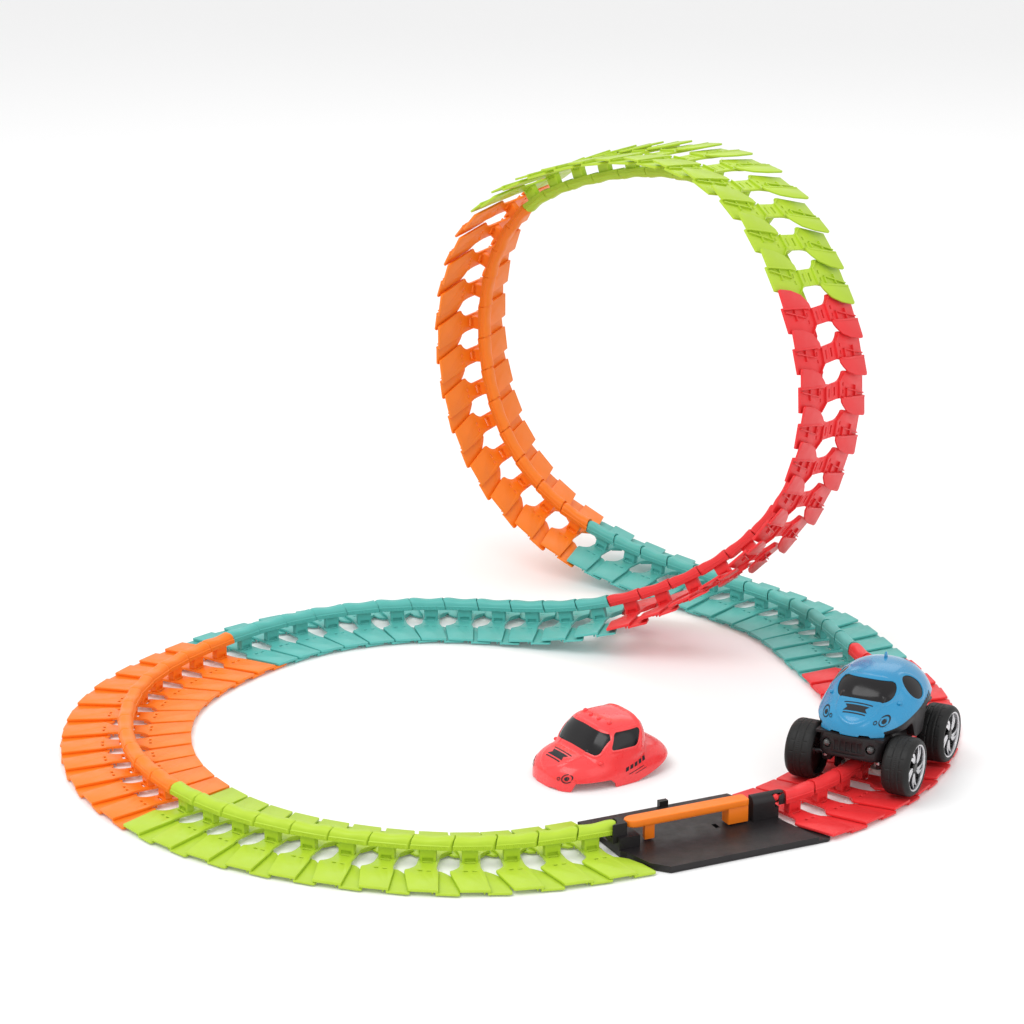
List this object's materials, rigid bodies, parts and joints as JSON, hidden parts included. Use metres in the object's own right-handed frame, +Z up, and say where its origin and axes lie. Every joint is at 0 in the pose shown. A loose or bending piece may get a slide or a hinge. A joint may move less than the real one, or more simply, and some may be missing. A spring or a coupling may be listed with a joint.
{
  "type": "flexible rail track set with loop",
  "caption": "Closed toy circuit of snap-together links with a raised centre rail and a vertical loop, a start station with a swinging gate, a car and a spare shell.",
  "frame": {"origin": "on the floor, under the middle of the whole layout", "axes": "+Z up, +Y along the longer side, away from the start station; +X to the right"},
  "size_m": [0.6, 0.684, 0.3483],
  "materials": {
    "red": "satin",
    "teal": "satin",
    "orange": "satin",
    "green": "satin",
    "black_plastic": "satin",
    "car_blue": "gloss",
    "spare_red": "gloss",
    "dark_window": "gloss",
    "lamp": "clear",
    "rim": "bright",
    "tyre": "matte",
    "steel": "satin",
    "brass": "satin",
    "white_plastic": "satin",
    "battery": "gloss",
    "board": "satin"
  },
  "bodies": {
    "track": {"red_curve_links": "red", "teal_climb_links": "teal", "orange_loop_links": "orange", "green_loop_links": "green", "red_loop_links": "red", "teal_back_links": "teal", "orange_curve_links": "orange", "station_base": "black_plastic", "station_gate_pin": "steel"},
    "gate": {"station_gate": "orange"},
    "green_link_01": {"green_link_01": "green"},
    "green_link_02": {"green_link_02": "green"},
    "green_link_03": {"green_link_03": "green"},
    "green_link_04": {"green_link_04": "green"},
    "green_link_05": {"green_link_05": "green"},
    "green_link_06": {"green_link_06": "green"},
    "green_link_07": {"green_link_07": "green"},
    "green_link_08": {"green_link_08": "green"},
    "green_link_09": {"green_link_09": "green"},
    "green_link_10": {"green_link_10": "green"},
    "green_link_11": {"green_link_11": "green"},
    "green_link_12": {"green_link_12": "green"},
    "car": {"car_chassis": "black_plastic", "car_deck": "black_plastic", "axle_bushes": "brass", "gearbox_cover": "white_plastic", "motor": "steel", "battery_tray": "black_plastic", "batteries": "battery", "battery_contacts": "steel", "circuit_board": "board", "chassis_screws": "steel", "car_lamps": "lamp"},
    "car_body": {"car_shell": "car_blue", "car_windows": "dark_window"},
    "front_wheels": {"front_axle": "steel", "front_rims": "rim", "front_tyres": "tyre"},
    "rear_wheels": {"rear_axle": "steel", "rear_rims": "rim", "rear_tyres": "tyre"},
    "drive_left": {"drive_roller_left": "white_plastic"},
    "drive_right": {"drive_roller_right": "white_plastic"},
    "idler_left": {"idler_roller_left": "white_plastic"},
    "idler_right": {"idler_roller_right": "white_plastic"},
    "pinion": {"motor_pinion": "brass"},
    "cell_cover": {"battery_cover": "black_plastic"},
    "switch": {"power_switch": "white_plastic"},
    "spare": {"spare_shell": "spare_red", "spare_windows": "dark_window"}
  },
  "joints": [
    {"name": "gate_swing", "type": "hinge", "parent": "track", "child": "gate", "pos_m": [0.13753, -0.23987, 0.01], "axis": [0, 0, 1], "range_deg": [0, 70]},
    {"name": "green_flex_01", "type": "hinge", "parent": "track", "child": "green_link_01", "pos_m": [-0.21242, -0.20888, 0.017], "axis": [-0.7702, -0.6378, 0], "range_deg": [0, 8]},
    {"name": "green_flex_02", "type": "hinge", "parent": "green_link_01", "child": "green_link_02", "pos_m": [-0.19648, -0.22812, 0.017], "axis": [-0.6878, -0.7259, 0], "range_deg": [0, 8]},
    {"name": "green_flex_03", "type": "hinge", "parent": "green_link_02", "child": "green_link_03", "pos_m": [-0.17834, -0.24531, 0.017], "axis": [-0.591, -0.8067, 0], "range_deg": [0, 8]},
    {"name": "green_flex_04", "type": "hinge", "parent": "green_link_03", "child": "green_link_04", "pos_m": [-0.15819, -0.26007, 0.017], "axis": [-0.4861, -0.8739, 0], "range_deg": [0, 8]},
    {"name": "green_flex_05", "type": "hinge", "parent": "green_link_04", "child": "green_link_05", "pos_m": [-0.13636, -0.27222, 0.017], "axis": [-0.3934, -0.9194, 0], "range_deg": [0, 8]},
    {"name": "green_flex_06", "type": "hinge", "parent": "green_link_05", "child": "green_link_06", "pos_m": [-0.11338, -0.28205, 0.017], "axis": [-0.3089, -0.9511, 0], "range_deg": [0, 8]},
    {"name": "green_flex_07", "type": "hinge", "parent": "green_link_06", "child": "green_link_07", "pos_m": [-0.08961, -0.28977, 0.017], "axis": [-0.222, -0.975, 0], "range_deg": [0, 8]},
    {"name": "green_flex_08", "type": "hinge", "parent": "green_link_07", "child": "green_link_08", "pos_m": [-0.06524, -0.29532, 0.017], "axis": [-0.1162, -0.9932, 0], "range_deg": [0, 8]},
    {"name": "green_flex_09", "type": "hinge", "parent": "green_link_08", "child": "green_link_09", "pos_m": [-0.04042, -0.29823, 0.017], "axis": [0.0214, -0.9998, 0], "range_deg": [0, 8]},
    {"name": "green_flex_10", "type": "hinge", "parent": "green_link_09", "child": "green_link_10", "pos_m": [-0.01545, -0.29769, 0.017], "axis": [0.1788, -0.9839, 0], "range_deg": [0, 8]},
    {"name": "green_flex_11", "type": "hinge", "parent": "green_link_10", "child": "green_link_11", "pos_m": [0.00912, -0.29322, 0.017], "axis": [0.3077, -0.9515, 0], "range_deg": [0, 8]},
    {"name": "green_flex_12", "type": "hinge", "parent": "green_link_11", "child": "green_link_12", "pos_m": [0.0329, -0.28553, 0.017], "axis": [0.3782, -0.9257, 0], "range_deg": [0, 8]},
    {"name": "car_travel", "type": "hinge", "parent": "track", "child": "car", "pos_m": [0.03454, -0.04958, 0], "axis": [0, 0, 1], "range_deg": [-18, 30]},
    {"name": "front_axle_spin", "type": "hinge", "parent": "car", "child": "front_wheels", "pos_m": [0.21658, -0.18062, 0.0233], "axis": [0.8866, -0.4625, 0], "continuous": true},
    {"name": "rear_axle_spin", "type": "hinge", "parent": "car", "child": "rear_wheels", "pos_m": [0.24617, -0.12387, 0.0233], "axis": [0.8866, -0.4625, 0], "continuous": true},
    {"name": "drive_left_spin", "type": "hinge", "parent": "car", "child": "drive_left", "pos_m": [0.23368, -0.16924, 0.02], "axis": [0, 0, 1], "continuous": true},
    {"name": "drive_right_spin", "type": "hinge", "parent": "car", "child": "drive_right", "pos_m": [0.21612, -0.16008, 0.02], "axis": [0, 0, 1], "continuous": true},
    {"name": "idler_left_spin", "type": "hinge", "parent": "car", "child": "idler_left", "pos_m": [0.24663, -0.14441, 0.02], "axis": [0, 0, 1], "continuous": true},
    {"name": "idler_right_spin", "type": "hinge", "parent": "car", "child": "idler_right", "pos_m": [0.22907, -0.13525, 0.02], "axis": [0, 0, 1], "continuous": true},
    {"name": "pinion_spin", "type": "hinge", "parent": "car", "child": "pinion", "pos_m": [0.22189, -0.17827, 0.03], "axis": [0, 0, 1], "continuous": true},
    {"name": "shell_lift", "type": "slide", "parent": "car", "child": "car_body", "axis": [0, 0, 1], "range_m": [0, 0.04]},
    {"name": "cell_cover_lift", "type": "slide", "parent": "car", "child": "cell_cover", "axis": [0, 0, 1], "range_m": [0, 0.003]},
    {"name": "switch_slide", "type": "slide", "parent": "car", "child": "switch", "axis": [0.8866, -0.4625, 0], "range_m": [0, 0.003]},
    {"name": "spare_lift", "type": "slide", "parent": "track", "child": "spare", "axis": [0, 0, 1], "range_m": [0, 0.06]}
  ],
  "couplings": [
    {"joint": "front_axle_spin", "follows": "car_travel", "ratio": -11.809},
    {"joint": "rear_axle_spin", "follows": "car_travel", "ratio": -11.809},
    {"joint": "drive_left_spin", "follows": "car_travel", "ratio": 45.306},
    {"joint": "drive_right_spin", "follows": "car_travel", "ratio": -45.306},
    {"joint": "idler_left_spin", "follows": "car_travel", "ratio": 45.306},
    {"joint": "idler_right_spin", "follows": "car_travel", "ratio": -45.306},
    {"joint": "pinion_spin", "follows": "car_travel", "ratio": -90.612}
  ]
}
